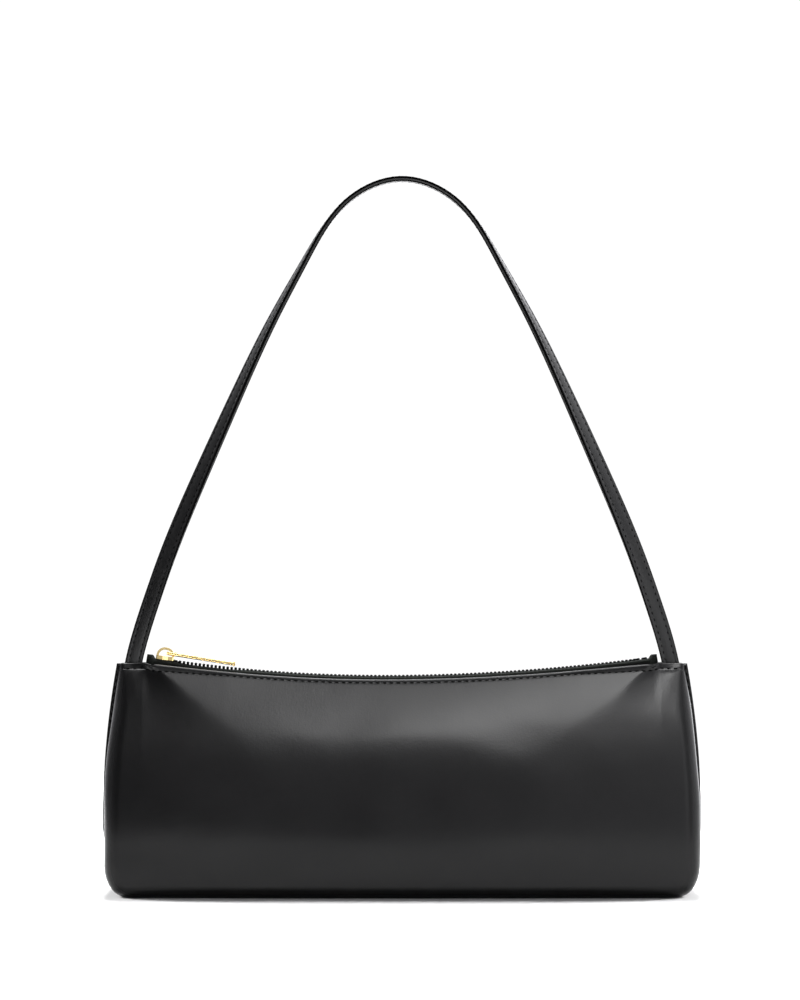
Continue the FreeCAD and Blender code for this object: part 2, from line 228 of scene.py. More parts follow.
def grid_faces(rows, columns, closed=False, flip=False):
    """Quads between rows of points, each row holding the same number of points."""
    faces = []
    for i in range(rows - 1):
        for j in range(columns if closed else columns - 1):
            k = (j + 1) % columns
            face = (i * columns + j, i * columns + k, (i + 1) * columns + k, (i + 1) * columns + j)
            faces.append(face[::-1] if flip else face)
    return faces


def cap_faces(rows, columns):
    """End faces of a tube made of closed rows."""
    last = (rows - 1) * columns
    return [tuple(reversed(range(columns))), tuple(range(last, last + columns))]


def joined(parts):
    """Points and faces of several meshes as one."""
    points, faces = [], []
    for part_points, part_faces in parts:
        start = len(points)
        points += part_points
        faces += [tuple(i + start for i in face) for face in part_faces]
    return points, faces


# Form of the body

def smooth(t):
    t = min(max(t, 0), 1)
    return t * t * (3 - 2 * t)


def eased(value, start, run):
    """0 up to the start, then a smooth rise to 1 over the run."""
    return smooth((value - start) / run)


def drawn_in(z, height):
    """Share of the turn under the base: 1 on the ground, 0 from the given height up."""
    t = min(max(1 - z / height, 0), 1)
    return 1 - math.sqrt(1 - t * t)


def side_at(z):
    """Half length at a height."""
    rise = max((z - widest_height) / (body_height - widest_height), 0)
    return half_length - end_lean * rise ** 2 - base_round_length * drawn_in(z, base_round_height)


def edge_at(x):
    """Height of the leather's top edge."""
    dip = mouth_dip * max(1 - (x / mouth_dip_half) ** 2, 0)
    return body_height - mouth_sag * max(1 - (x / slot_shut) ** 2, 0) + skew_at(x) - dip


def skew_at(x):
    return skew * math.sin(math.pi * min(max(x / slot_shut, -1), 1))


def half_depth_at(x, z, pinch, turn):
    """Half depth at a place, for a share of the top corners' pinch and a turn under the base."""
    full = half_depth - panel_bow * (x / half_length) ** 2
    top = slot_outer + (pinch_outer - slot_outer) * pinch
    rise = min(max((z - fullest_height) / (edge_at(x) - fullest_height), 0), 1)
    return full - (full - top) * rise ** 2 - turn


def depth_at(x, z):
    """Half depth of the solids."""
    pinch = eased(abs(x), mouth_end, mouth_taper)
    return half_depth_at(x, z, pinch, base_round_depth * drawn_in(z, base_round_height))


def leather_depth(x, z):
    """The same, with the pinch of the top corners spreading out down the leather and a tighter base edge."""
    spread = min(pinch_spread_share * max(edge_at(x) - z, 0), pinch_spread)
    pinch = eased(abs(x), mouth_end - spread, mouth_taper + spread * pinch_fade)
    return half_depth_at(x, z, pinch, base_edge_depth * drawn_in(z, base_edge_height))


def wall_point(u, z):
    """Point of the front half's outer face: u runs from -3 at one side seam to 3 at the other."""
    side = side_at(z)
    round_off = min(corner_round, corner_share * leather_depth(side, z))
    near = side - round_off
    sign = math.copysign(1, u)
    run = abs(u)
    if run <= 1:
        return Vector((u * near, -leather_depth(u * near, z), z))
    turn = Vector((sign * near, round_off - leather_depth(near, z), z))
    if run <= 2:
        angle = math.pi / 2 * (run - 1)
        return turn + Vector((sign * math.sin(angle), -math.cos(angle), 0)) * round_off
    return Vector((sign * side, turn.y * (3 - run), z))


def wall_normal(u, z):
    step = 0.02
    across = wall_point(min(u + step, 3), z) - wall_point(max(u - step, -3), z)
    up = wall_point(u, min(z + 1, body_height)) - wall_point(u, max(z - 1, 0))
    return across.cross(up).normalized()


def edge_of(u):
    """Height of the top edge at a station of the wall."""
    return edge_at(wall_point(max(min(u, 1), -1), body_height - mouth_sag).x)


def stitch_drop(u):
    """Height of the hem's stitch line below the edge."""
    line = hem_stitch + (hem_stitch_end - hem_stitch) * eased(abs(u), hem_stitch_from, hem_stitch_run)
    lean = wall_normal(u, edge_of(u) - line)
    return line * math.sqrt(max(1 - lean.z ** 2, 0))


def hem_form(drop, line, along, x):
    """How far the leather stands out near its sewn edge, at a length along the stitches."""
    below = drop - line
    swell = hem_swell * math.sin(math.pi * min(max(drop / line, 0), 1) ** hem_swell_power)
    upright = eased(abs(x), hem_stand_from, hem_stand_run) * (1 - eased(abs(x), hem_stand_end, hem_stand_out))
    swell += hem_stand * max(1 - drop / line, 0) * upright
    groove = hem_groove * math.exp(-(below / hem_groove_half) ** 2)
    from_hole = (along / stitch_pitch - round(along / stitch_pitch)) * stitch_pitch
    hole = hem_hole * math.exp(-(below ** 2 + from_hole ** 2) / hem_hole_half ** 2)
    pillow = hem_pillow * smooth(below / hem_pillow_rise) * (1 - smooth(below / hem_pillow_fade))
    return swell - groove - hole + pillow


def bulge_form(x, drop):
    """Swelling over a strap end that lies between the panels."""
    across = 1 - smooth(abs(abs(x) - strap_root_half) / strap_width)
    down = eased(drop, bulge_from, bulge_rise) * (1 - eased(drop, bulge_full, bulge_fade))
    return strap_bulge * across * down


def unevenness(p, drop, seed):
    """Slow rise and fall of the leather, none at the base and the hem."""
    fade = eased(p.z, quiet_edge, quiet_run) * eased(drop, quiet_edge, quiet_run)
    slow = noise.noise(Vector((p.x / slow_wave[0], seed, p.z / slow_wave[1])))
    quick = noise.noise(Vector((p.x / quick_wave[0], seed + quick_seed, p.z / quick_wave[1])))
    return undulation * fade * (slow + quick_share * quick)


def station_list(front_steps):
    """Stations of the wall from one side seam to the other."""
    side = [3 - i / side_steps for i in range(side_steps)]
    corner = [2 - i / corner_steps for i in range(corner_steps)]
    half = side + corner
    middle = [1 - 2 * i / front_steps for i in range(front_steps + 1)]
    return [-u for u in half] + [-u for u in middle] + half[::-1]


def row_heights(edge):
    """Heights of the wall's rows of points, from the base up to the lip."""
    shares = [*foot_shares, *(wall_share + (1 - wall_share) * i / wall_steps for i in range(wall_steps))]
    return [share * (edge - hem_drops[0]) for share in shares] + [edge - drop for drop in hem_drops]


def hem_lengths():
    """Length along the hem's stitch line at even steps of u from -1 to 1."""
    lengths, before = [0.0], None
    for p, _ in hem_path():
        if before is not None:
            lengths.append(lengths[-1] + (p - before).length)
        before = p
    return lengths


def panel_mesh(seed):
    """Front panel: half of the base, the wall, the folded hem and its inner leg."""
    stations = station_list(panel_steps)
    lengths = hem_lengths()
    points = []
    for u in stations:
        edge = edge_of(u)
        line = stitch_drop(u)
        at = (min(max(u, -1), 1) + 1) / 2 * hem_steps
        step = min(int(at), hem_steps - 1)
        along = lengths[step] + (lengths[step + 1] - lengths[step]) * (at - step)
        foot = wall_point(u, 0)
        points += [Vector((foot.x, foot.y * t, 0)) for t in base_shares]
        for z in row_heights(edge):
            p = wall_point(u, z)
            below = edge - z
            out = hem_form(below, line, along, p.x) + bulge_form(p.x, below) + unevenness(p, below, seed)
            points.append(p + wall_normal(u, z) * out)
        rim = points[-1]
        inward = wall_normal(u, edge - lip_round)
        inward = -Vector((inward.x, inward.y, 0)).normalized()
        for k in range(1, lip_steps + 1):
            angle = math.pi * k / lip_steps
            points.append(rim + inward * lip_round * (1 - math.cos(angle)) + UP * lip_round * math.sin(angle))
        points += [wall_point(u, edge - drop) + inward * 2 * lip_round for drop in hem_leg_drops]
    return points, grid_faces(len(stations), len(points) // len(stations))


def mirrored(part):
    """The back half of a mesh, from its front half."""
    points, faces = part
    return [Vector((p[0], -p[1], p[2])) for p in points], [face[::-1] for face in faces]


def lining_mesh():
    """Front half of the lining, a small gap inside the leather."""
    stations = station_list(lining_steps)
    points = []
    for u in stations:
        edge = edge_of(u) - lining_drop
        foot = wall_point(u, 0)
        inner = wall_normal(u, base_round_height)
        shift = Vector((inner.x, inner.y, 0)).normalized() * -lining_inset
        for t in (0, 0.5, 1):
            points.append(Vector((foot.x + shift.x, (foot.y + shift.y) * t, lining_inset)))
        for i in range(1, lining_rows + 1):
            z = edge * i / lining_rows
            p = wall_point(u, z) + shift
            lift = lining_inset * max(1 - z / base_round_height, 0)
            points.append(Vector((p.x, min(p.y, 0), z + lift)))
    return points, grid_faces(len(stations), len(points) // len(stations))


def seam_mesh(side):
    """Stitched fin where the two panels meet along a side, with a parting line on its edge."""
    points = []
    heights = [seam_foot + (body_height - seam_foot) * i / seam_steps for i in range(seam_steps)]
    heights.append(body_height - seam_top_gap)
    for z in heights:
        grown = eased(z, seam_foot, seam_run_out)
        out = seam_root + (seam_fin - seam_root) * grown
        half = leather * (seam_foot_share + (1 - seam_foot_share) * grown)
        # Half of the section, as (out from the wall, across)
        shape = [(-1.2, -half), (out * 0.55, -half), (out - 0.35, -half), (out - 0.1, -half * 0.86),
                 (out, -half * 0.6), (out, -half * 0.16), (out - 0.3, 0)]
        shape += [(a, -b) for a, b in shape[-2::-1]]
        points += [Vector((side * (side_at(z) + a), b, z)) for a, b in shape]
    columns = len(points) // len(heights)
    faces = grid_faces(len(heights), columns, flip=side < 0)
    cap = tuple(range(len(points) - columns, len(points)))
    return points, faces + [cap if side > 0 else cap[::-1]]


# Stitches

def stitch(middle, along, normal, length, radius):
    """One stitch: a small rounded thread lying in the leather, dipping at both ends."""
    across = along.cross(normal).normalized()
    points = []
    # (place along the stitch, thickness, lift) as shares of its length and radius
    steps = ((-0.5, 0.25, -0.9), (-0.42, 0.7, -0.35), (-0.25, 0.95, 0), (0, 1, 0.12),
             (0.25, 0.95, 0), (0.42, 0.7, -0.35), (0.5, 0.25, -0.9))
    for place, size, lift in steps:
        centre = middle + along * (place * length) + normal * (lift * radius)
        for k in range(thread_sides):
            angle = 2 * math.pi * k / thread_sides
            points.append(centre + (across * math.cos(angle) + normal * math.sin(angle)) * (radius * size))
    faces = grid_faces(len(steps), thread_sides, closed=True, flip=True)
    return points, faces + cap_faces(len(steps), thread_sides)


def stitch_row(path, length=stitch_length, radius=stitch_radius):
    """Stitches at an even pitch along a path of (point, normal)."""
    parts = []
    travelled = 0.0
    due = stitch_pitch / 2
    for (a, na), (b, nb) in zip(path, path[1:]):
        step = (b - a).length
        while due <= travelled + step:
            t = (due - travelled) / step
            normal = na.lerp(nb, t).normalized()
            parts.append(stitch(a.lerp(b, t), (b - a).normalized(), normal, length, radius))
            due += stitch_pitch
        travelled += step
    return parts


def hem_path():
    """(point, normal) along the hem's stitch line."""
    path = []
    for i in range(hem_steps + 1):
        u = 2 * i / hem_steps - 1
        z = edge_of(u) - stitch_drop(u)
        p = wall_point(u, z)
        normal = wall_normal(u, z)
        path.append((p + normal * (bulge_form(p.x, edge_of(u) - z) - hem_groove * stitch_sink), normal))
    return path


def seam_path(side):
    """(point, normal) up the front of a side seam."""
    start, end = seam_foot + seam_stitch_foot, body_height - seam_stitch_top
    path = []
    for i in range(seam_path_steps + 1):
        z = start + (end - start) * i / seam_path_steps
        path.append((Vector((side * (side_at(z) + seam_stitch_out), -leather, z)), Vector((0, FRONT, 0))))
    return path


# Zipper

def on_chain(across, height, place):
    """Point given across and above the row of teeth, at a place along it."""
    turn = place / chain_radius
    reach = chain_radius - height - skew_at(place) - chain_lift * max(1 - (place / mouth_end) ** 2, 0)
    return Vector((reach * math.sin(turn), across, chain_centre - reach * math.cos(turn)))


def comb_at(place):
    """Further drop of the back row beside the slider."""
    return comb_drop * eased(place, comb_from, comb_run) * (1 - eased(place, comb_end, comb_out))


def row_drop_at(place, side):
    """How far a row of teeth has rolled down at a place; none at the slider and the stops."""
    if side == FRONT:
        return 0
    rolled = eased(place, roll_from, roll_run) * smooth((roll_end - place) / roll_out)
    return row_drop * rolled + comb_at(place)


def tape_line(place, side):
    """Middle of a tape's cross-section: flat by the teeth, then down behind the leather."""
    turn = place / chain_radius

    def behind_leather(height):
        p = on_chain(0, height, place)
        return depth_at(p.x, p.z) - tape_seat

    upright = eased(abs(place), mouth_end + tape_flat_end, tape_fin_rise)
    edge = chain_radius - (chain_centre - edge_at(on_chain(0, 0, place).x)) / math.cos(turn)
    bend_height = min(edge, -tape) - tape * upright
    foot = edge - tape_leg
    bend = behind_leather(bend_height)
    fold = tape_bend + (bend - tape_bend) * upright
    inner = tape_edge + (tape_fin_gap / 2 + tape / 2 - tape_edge) * upright
    roll = row_drop_at(place, side) if side == BACK else comb_at(place)
    return [(inner, tape_fin * upright - roll),
            (fold + (inner - fold) * hem_shares[1] * upright, tape_fin * hem_shares[0] * upright - roll / 2),
            (bend, bend_height), (behind_leather(foot), foot)]


def rounded(line):
    """Line with its corners cut twice."""
    for _ in range(2):
        cut = [line[0]]
        for (a, b), (c, d) in zip(line, line[1:]):
            cut.append((a * 0.75 + c * 0.25, b * 0.75 + d * 0.25))
            cut.append((a * 0.25 + c * 0.75, b * 0.25 + d * 0.75))
        line = cut + [line[-1]]
    return line


def thick_line(line, half):
    """Closed outline round a line, the given half thickness off it."""
    upper, lower = [], []
    for i, (a, b) in enumerate(line):
        before, after = line[max(i - 1, 0)], line[min(i + 1, len(line) - 1)]
        run = math.hypot(after[0] - before[0], after[1] - before[1])
        normal = (-(after[1] - before[1]) / run, (after[0] - before[0]) / run)
        upper.append((a + normal[0] * half, b + normal[1] * half))
        lower.append((a - normal[0] * half, b - normal[1] * half))
    return upper + lower[::-1]


def tape_mesh(side):
    end = mouth_end + tape_overhang
    places = [end * (2 * i / tape_steps - 1) for i in range(tape_steps + 1)]
    points = []
    for place in places:
        ring = thick_line(rounded(tape_line(place, side)), tape / 2)
        points += [on_chain(side * across, height, place) for across, height in ring]
    columns = len(points) // len(places)
    faces = grid_faces(len(places), columns, closed=True, flip=side > 0)
    return points, faces + cap_faces(len(places), columns)


def tooth_template():
    """One tooth at mid length: jaws over the tape and a head past the centre line, edges rounded."""
    half = tooth_height / 2
    profile = [(-tooth_head, -half), (tooth_reach, -half), (tooth_reach, -tooth_slot),
               (tooth_throat, -tooth_slot), (tooth_throat, tooth_slot), (tooth_reach, tooth_slot),
               (tooth_reach, half), (-tooth_head, half)]
    form = bmesh.new()
    face = form.faces.new([form.verts.new((-tooth_thick / 2, a, b)) for a, b in profile])
    pulled = bmesh.ops.extrude_face_region(form, geom=[face])["geom"]
    moved = [v for v in pulled if isinstance(v, bmesh.types.BMVert)]
    bmesh.ops.translate(form, verts=moved, vec=(tooth_thick, 0, 0))
    bmesh.ops.recalc_face_normals(form, faces=form.faces)
    edges = [e for e in form.edges if all(abs(v.co.z) > tooth_slot * 1.5 for v in e.verts)]
    bmesh.ops.bevel(form, geom=edges, offset=tooth_round, segments=2, affect="EDGES", profile=0.5)
    form.verts.index_update()
    points = [v.co.copy() for v in form.verts]
    faces = [tuple(v.index for v in f.verts) for f in form.faces]
    form.free()
    return points, faces


def teeth_mesh(side):
    points, faces = tooth_template()
    first = first_tooth + (tooth_pitch / 2 if side == BACK else 0)
    count = int((last_tooth - first) / tooth_pitch) + 1
    turned = faces if side == BACK else [face[::-1] for face in faces]
    parts = []
    for i in range(count):
        place = first + i * tooth_pitch
        drop = row_drop_at(place, side)
        parts.append(([on_chain(side * p.y, p.z - drop, place + p.x) for p in points], turned))
    return joined(parts)


# Strap

def bends_of(knots, values):
    """Second derivatives of a natural cubic spline at its knots."""
    count = len(knots)
    bends, work = [0.0] * count, [0.0] * count
    for i in range(1, count - 1):
        before, after = knots[i] - knots[i - 1], knots[i + 1] - knots[i]
        share = before / (before + after)
        pivot = share * bends[i - 1] + 2
        bends[i] = (share - 1) / pivot
        slope = (values[i + 1] - values[i]) / after - (values[i] - values[i - 1]) / before
        work[i] = (6 * slope / (before + after) - share * work[i - 1]) / pivot
    for i in range(count - 2, -1, -1):
        bends[i] = bends[i] * bends[i + 1] + work[i]
    return bends


def spline_at(knots, values, bends, t):
    i = max(k for k in range(len(knots) - 1) if knots[k] <= t)
    span = knots[i + 1] - knots[i]
    a, b = (knots[i + 1] - t) / span, (t - knots[i]) / span
    curve = (a ** 3 - a) * bends[i] + (b ** 3 - b) * bends[i + 1]
    return a * values[i] + b * values[i + 1] + curve * span ** 2 / 6


def strap_line():
    """Points of the strap's centre line, from one sewn-in end over the top to the other."""
    leg = [(-strap_root_half - strap_root_lean, body_height - strap_sewn_in)]
    leg += [(-strap_root_half * a, fold_height + strap_rise * b)
            for a, b in zip(strap_span_shares, strap_rise_shares)]
    marks = leg + [(-x, z) for x, z in reversed(leg[:-1])]
    knots = [0.0]
    for (a, b), (c, d) in zip(marks, marks[1:]):
        knots.append(knots[-1] + math.hypot(c - a, d - b))
    xs, zs = [m[0] for m in marks], [m[1] for m in marks]
    bends_x, bends_z = bends_of(knots, xs), bends_of(knots, zs)
    line = []
    for i in range(strap_frames + 1):
        t = min(knots[-1] * i / strap_frames, knots[-1] * last_share)
        line.append(Vector((spline_at(knots, xs, bends_x, t), 0, spline_at(knots, zs, bends_z, t))))
    return line


def strap_frame_list():
    """(point, face, across) along the strap: flat to the front at its roots, on edge at the top."""
    line = strap_line()
    frames = []
    for i, p in enumerate(line):
        along = (line[min(i + 1, len(line) - 1)] - line[max(i - 1, 0)]).normalized()
        outward = Vector((-along.z, 0, along.x))
        rise = max((p.z - fold_height) / strap_rise, 0)
        turn = math.pi / 2 * min(rise / strap_turned_share, 1)
        face = Vector((0, FRONT, 0)) * math.cos(turn) + outward * math.sin(turn)
        frames.append((p, face, along.cross(face)))
    return frames


def strap_ring():
    """Cross-section of the strap as (across, out), with a parting line between its plies."""
    wide, thick = strap_width / 2, strap_thick / 2
    half = [(a * wide, b * thick) for a, b in face_shares]
    top = half + [(-a, b) for a, b in half[-2::-1]]
    edge = [(a * wide, b * thick) for a, b in edge_shares]
    return top + edge + [(-a, -b) for a, b in top] + [(-a, -b) for a, b in edge]


def strap_mesh(frames):
    """Points, faces and each face's material: 0 the leather, 1 the black borders, 2 the inner ply's edge."""
    ring = strap_ring()
    points = [p + across * a + face * b for p, face, across in frames for a, b in ring]
    columns = len(ring)
    faces = grid_faces(len(frames), columns, closed=True)
    edge_start = len(face_shares) * 2 - 2
    half = columns // 2
    slots = []
    for j in range(columns):
        place = j % half
        border = place < border_faces or edge_start - border_faces <= place < edge_start
        outer_edge = place == (edge_start if j < half else half - 1)
        slots.append(1 if border or outer_edge else 0 if place < edge_start else 2)
    return points, faces + cap_faces(len(frames), columns), slots * (len(frames) - 1) + [0, 0]


def strap_stitch_paths(frames):
    """(point, normal) along both borders of both faces."""
    offset = strap_width / 2 - strap_stitch_inset
    lift = strap_thick / 2 * strap_stitch_share
    sewn = [f for f in frames if f[0].z > body_height + strap_stitch_foot]
    paths = []
    for row in (-1, 1):
        for side in (-1, 1):
            paths.append([(p + across * (row * offset) + face * (side * lift), face * side)
                          for p, face, across in sewn])
    return paths


# Materials

def feed(tree, made, inputs):
    """Gives a node its inputs: a socket is linked, and a plain value is set."""
    for key, value in inputs.items():
        if isinstance(value, bpy.types.NodeSocket):
            tree.links.new(value, made.inputs[key])
        else:
            made.inputs[key].default_value = value


def add_node(tree, kind, inputs=None, **settings):
    made = tree.nodes.new(kind)
    for key, value in settings.items():
        setattr(made, key, value)
    feed(tree, made, inputs or {})
    return made


def new_material(name):
    """A material, its node tree, its shader and the object's own coordinates."""
    material = bpy.data.materials.new(name)
    material.use_nodes = True
    tree = material.node_tree
    return material, tree, tree.nodes["Principled BSDF"], object_place(tree)


def object_place(tree):
    return add_node(tree, "ShaderNodeTexCoord").outputs["Object"]


def noise_value(tree, place, scale, detail=3.0):
    made = add_node(tree, "ShaderNodeTexNoise", {"Vector": place, "Scale": scale, "Detail": detail})
    return made.outputs["Fac"]


def wave_value(tree, place, scale, distortion, direction):
    inputs = {"Vector": place, "Scale": scale, "Distortion": distortion}
    return add_node(tree, "ShaderNodeTexWave", inputs, bands_direction=direction).outputs["Fac"]


def ranged(tree, value, low, high):
    """A value between 0 and 1 spread between two others."""
    made = add_node(tree, "ShaderNodeMapRange", {"Value": value, "To Min": low, "To Max": high})
    return made.outputs["Result"]


def mixed(tree, factor, first, second):
    """A colour between two others."""
    made = add_node(tree, "ShaderNodeMix", {"Factor": factor, 6: first, 7: second}, data_type="RGBA")
    return made.outputs[2]


def grey(level):
    return (level, level, level, 1)


def shaded(tone, share):
    """A colour made darker or lighter."""
    return (tone[0] * share, tone[1] * share, tone[2] * share, 1)


def bumped(tree, height, strength, distance, below=None):
    inputs = {"Height": height, "Strength": strength, "Distance": distance}
    if below is not None:
        inputs["Normal"] = below
    return add_node(tree, "ShaderNodeBump", inputs).outputs["Normal"]


def leather_material(name, tone, gloss, shine):
    """Smooth calf leather: fine pores, faint creases and slight changes of gloss."""
    material, tree, shader, place = new_material(name)
    cloud = noise_value(tree, place, 22.0, 4.0)
    grain = noise_value(tree, place, 900.0, 4.0)
    pores = add_node(tree, "ShaderNodeTexVoronoi", {"Vector": place, "Scale": 1300.0}).outputs["Distance"]
    creases = noise_value(tree, place, 70.0, 6.0)
    normal = bumped(tree, creases, 0.10, 0.0006)
    normal = bumped(tree, grain, 0.10, 0.0002, normal)
    feed(tree, shader, {
        "Base Color": mixed(tree, cloud, shaded(tone, 0.8), shaded(tone, 1.25)),
        "Roughness": ranged(tree, cloud, gloss - 0.04, gloss + 0.05),
        "Normal": bumped(tree, pores, 0.08, 0.0002, normal),
        "Specular IOR Level": shine,
        "Coat Weight": 0.06,
        "Coat Roughness": 0.2,
    })
    return material


def paint_material(name, low, high, rough, shine):
    """Painted strap edge."""
    material, tree, shader, place = new_material(name)
    uneven = noise_value(tree, place, 260.0)
    feed(tree, shader, {
        "Base Color": mixed(tree, uneven, grey(low), grey(high)),
        "Roughness": ranged(tree, uneven, rough, rough + 0.15),
        "Normal": bumped(tree, uneven, 0.2, 0.0003),
        "Specular IOR Level": shine,
    })
    return material


def thread_material():
    """Black waxed thread with its twist."""
    material, tree, shader, place = new_material("thread")
    twist = wave_value(tree, place, 900.0, 0.6, "DIAGONAL")
    feed(tree, shader, {
        "Base Color": mixed(tree, twist, grey(0.0005), grey(0.003)),
        "Normal": bumped(tree, twist, 0.4, 0.0001),
        "Roughness": 0.7,
        "Specular IOR Level": 0.02,
    })
    return material


def woven_material(name, low, high, scale):
    """Plain-woven cloth."""
    material, tree, shader, place = new_material(name)
    warp = wave_value(tree, place, scale, 0.5, "X")
    weft = wave_value(tree, place, scale, 0.5, "Z")
    weave = add_node(tree, "ShaderNodeMath", {0: warp, 1: weft}, operation="MULTIPLY").outputs[0]
    feed(tree, shader, {
        "Base Color": mixed(tree, weave, low, high),
        "Normal": bumped(tree, weave, 0.5, 0.0003),
        "Roughness": 0.85,
        "Sheen Weight": 0.03,
        "Specular IOR Level": 0.08,
    })
    return material


def metal_material(name, tone, gloss, scratch):
    """Plated metal with fine hairlines and slight smudges."""
    material, tree, shader, place = new_material(name)
    smudge = noise_value(tree, place, 160.0, 4.0)
    stretched = add_node(tree, "ShaderNodeMapping", {"Vector": place, "Scale": (120.0, 2600.0, 2600.0)})
    lines = noise_value(tree, stretched.outputs[0], 1.0, 2.0)
    feed(tree, shader, {
        "Base Color": mixed(tree, smudge, shaded(tone, 0.86), tone),
        "Roughness": ranged(tree, smudge, gloss * 0.7, gloss * 1.3),
        "Normal": bumped(tree, lines, scratch, 0.00005),
        "Metallic": 1.0,
    })
    return material


def pull_gold():
    """Gold of the pull tab, with a sunk line along the middle of its sides and painted shade in the line."""
    material = gold.copy()
    material.name = "pull_gold"
    tree = material.node_tree
    shader = tree.nodes["Principled BSDF"]
    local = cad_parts["pull_tab"].matrix_world.inverted()
    root, tip = local @ (pull_root * MM), local @ (pull_tip * MM)
    slope = math.atan2(tip.z - root.z, tip.x - root.x)
    centred = add_node(tree, "ShaderNodeVectorMath", {0: object_place(tree), 1: root}, operation="SUBTRACT")
    turn = {"Vector": centred.outputs[0], "Axis": (0, 1, 0), "Angle": slope}
    level = add_node(tree, "ShaderNodeVectorRotate", turn).outputs[0]
    height = add_node(tree, "ShaderNodeSeparateXYZ", {0: level}).outputs["Z"]
    away = add_node(tree, "ShaderNodeMath", {0: height}, operation="ABSOLUTE").outputs[0]
    width = {"Value": away, "From Min": line_half * MM, "From Max": line_end * MM}
    beside_shaded_line = add_node(tree, "ShaderNodeMapRange", width).outputs["Result"]
    plain = shader.inputs["Base Color"].links[0].from_socket
    below = shader.inputs["Normal"].links[0].from_socket
    # darker gold along the sunk line is painted shade in the groove; the bump gives the groove itself
    feed(tree, shader, {
        "Base Color": mixed(tree, beside_shaded_line, (0.78, 0.54, 0.22, 1), plain),
        "Normal": bumped(tree, beside_shaded_line, 0.8, 0.0003, below),
    })
    return material


def lacquer_material():
    """Black lacquered metal of the teeth."""
    material, tree, shader, place = new_material("teeth_lacquer")
    worn = noise_value(tree, place, 700.0, 4.0)
    feed(tree, shader, {
        "Base Color": mixed(tree, worn, grey(0.004), grey(0.012)),
        "Roughness": ranged(tree, worn, 0.35, 0.5),
        "Normal": bumped(tree, worn, 0.2, 0.0001),
        "Specular IOR Level": 0.05,
    })
    return material


def board_material():
    """Pressed fibre board."""
    material, tree, shader, place = new_material("board")
    fibre = noise_value(tree, place, 500.0, 5.0)
    feed(tree, shader, {
        "Base Color": mixed(tree, fibre, grey(0.03), grey(0.06)),
        "Normal": bumped(tree, fibre, 0.3, 0.0002),
        "Roughness": 0.8,
    })
    return material


# Pieces

def settle(piece, body, slot, *nodes):
    """Ties a piece to its body and the solids it stands for; the slot, which names its finish, is not used.
    """
    if body:
        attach(piece, body)
    if nodes:
        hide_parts(*nodes)


def dress_node(name, material, bevel):
    """A solid that stays: its own material, and rounded edges."""
    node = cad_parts[name]
    node.data.materials.clear()
    node.data.materials.append(material)
    rounding = node.modifiers.new("edges", "BEVEL")
    rounding.width = bevel * MM
    rounding.segments = 3
    rounding.limit_method = "ANGLE"
    rounding.angle_limit = math.radians(35)


black = (0.006, 0.006, 0.0063, 1)
panel_leather = leather_material("panel_leather", black, 0.23, 0.16)
strap_leather = leather_material("strap_leather", black, 0.34, 0.32)
edge_paint = paint_material("edge_paint", 0.006, 0.015, 0.4, 0.35)
border_paint = paint_material("border_paint", 0.002, 0.005, 0.7, 0.0)
thread = thread_material()
tape_cloth = woven_material("tape_cloth", (0.003, 0.004, 0.003, 1), (0.012, 0.015, 0.012, 1), 420.0)
lining_cloth = woven_material("lining_cloth", grey(0.012), grey(0.04), 300.0)
teeth_metal = lacquer_material()
gold = metal_material("gold", (1.0, 0.77, 0.35, 1), 0.13, 0.12)
board = board_material()


def build_body():
    front = add_object("front_leather", *panel_mesh(front_seed), [panel_leather])
    settle(front, "bag", "leather", "front_panel")
    back = add_object("back_leather", *mirrored(panel_mesh(back_seed)), [panel_leather])
    settle(back, "bag", "leather", "back_panel")
    for name, side in (("left", -1), ("right", 1)):
        settle(add_object("side_seam_" + name, *seam_mesh(side), [panel_leather]), "bag", "leather")
    cloth = lining_mesh()
    settle(add_object("lining_cloth_front", *cloth, [lining_cloth]), "bag", "lining", "lining_front")
    settle(add_object("lining_cloth_back", *mirrored(cloth), [lining_cloth]), "bag", "lining", "lining_back")
    rows = stitch_row(hem_path())
    for side in (-1, 1):
        rows += stitch_row(seam_path(side))
    sewn = joined(rows)
    settle(add_object("stitches_front", *sewn, [thread]), "bag", "leather")
    settle(add_object("stitches_back", *mirrored(sewn), [thread]), "bag", "leather")


def build_zipper():
    for name, side in (("front", FRONT), ("back", BACK)):
        cloth = add_object("tape_" + name, *tape_mesh(side), [tape_cloth])
        settle(cloth, "bag", "tape", "zipper_tape_" + name)
        teeth = add_object("teeth_" + name, *teeth_mesh(side), [teeth_metal])
        settle(teeth, "bag", "teeth", "zipper_teeth_" + name)
    dress_node("zipper_top_stops", teeth_metal, 0.15)
    dress_node("zipper_bottom_stop", teeth_metal, 0.15)
    dress_node("slider_body", gold, 0.18)
    dress_node("slider_crown", gold, 0.4)
    dress_node("pull_tab", pull_gold(), 0.3)
    dress_node("base_stiffener", board, 0.2)


def build_strap():
    frames = strap_frame_list()
    points, faces, slots = strap_mesh(frames)
    strap = add_object("strap_leather", points, faces, [strap_leather, border_paint, edge_paint], slots)
    rows = []
    for path in strap_stitch_paths(frames):
        rows += stitch_row(path, strap_stitch_length, strap_stitch_radius)
    stitches = add_object("strap_stitches", *joined(rows), [thread])
    for piece in (strap, stitches):
        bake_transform(piece)
    settle(strap, None, "strap", "strap_outer_ply", "strap_inner_ply", "strap_end_left", "strap_end_right")
    settle(stitches, None, "strap")


build_body()
build_zipper()
build_strap()


# Stage, light and camera

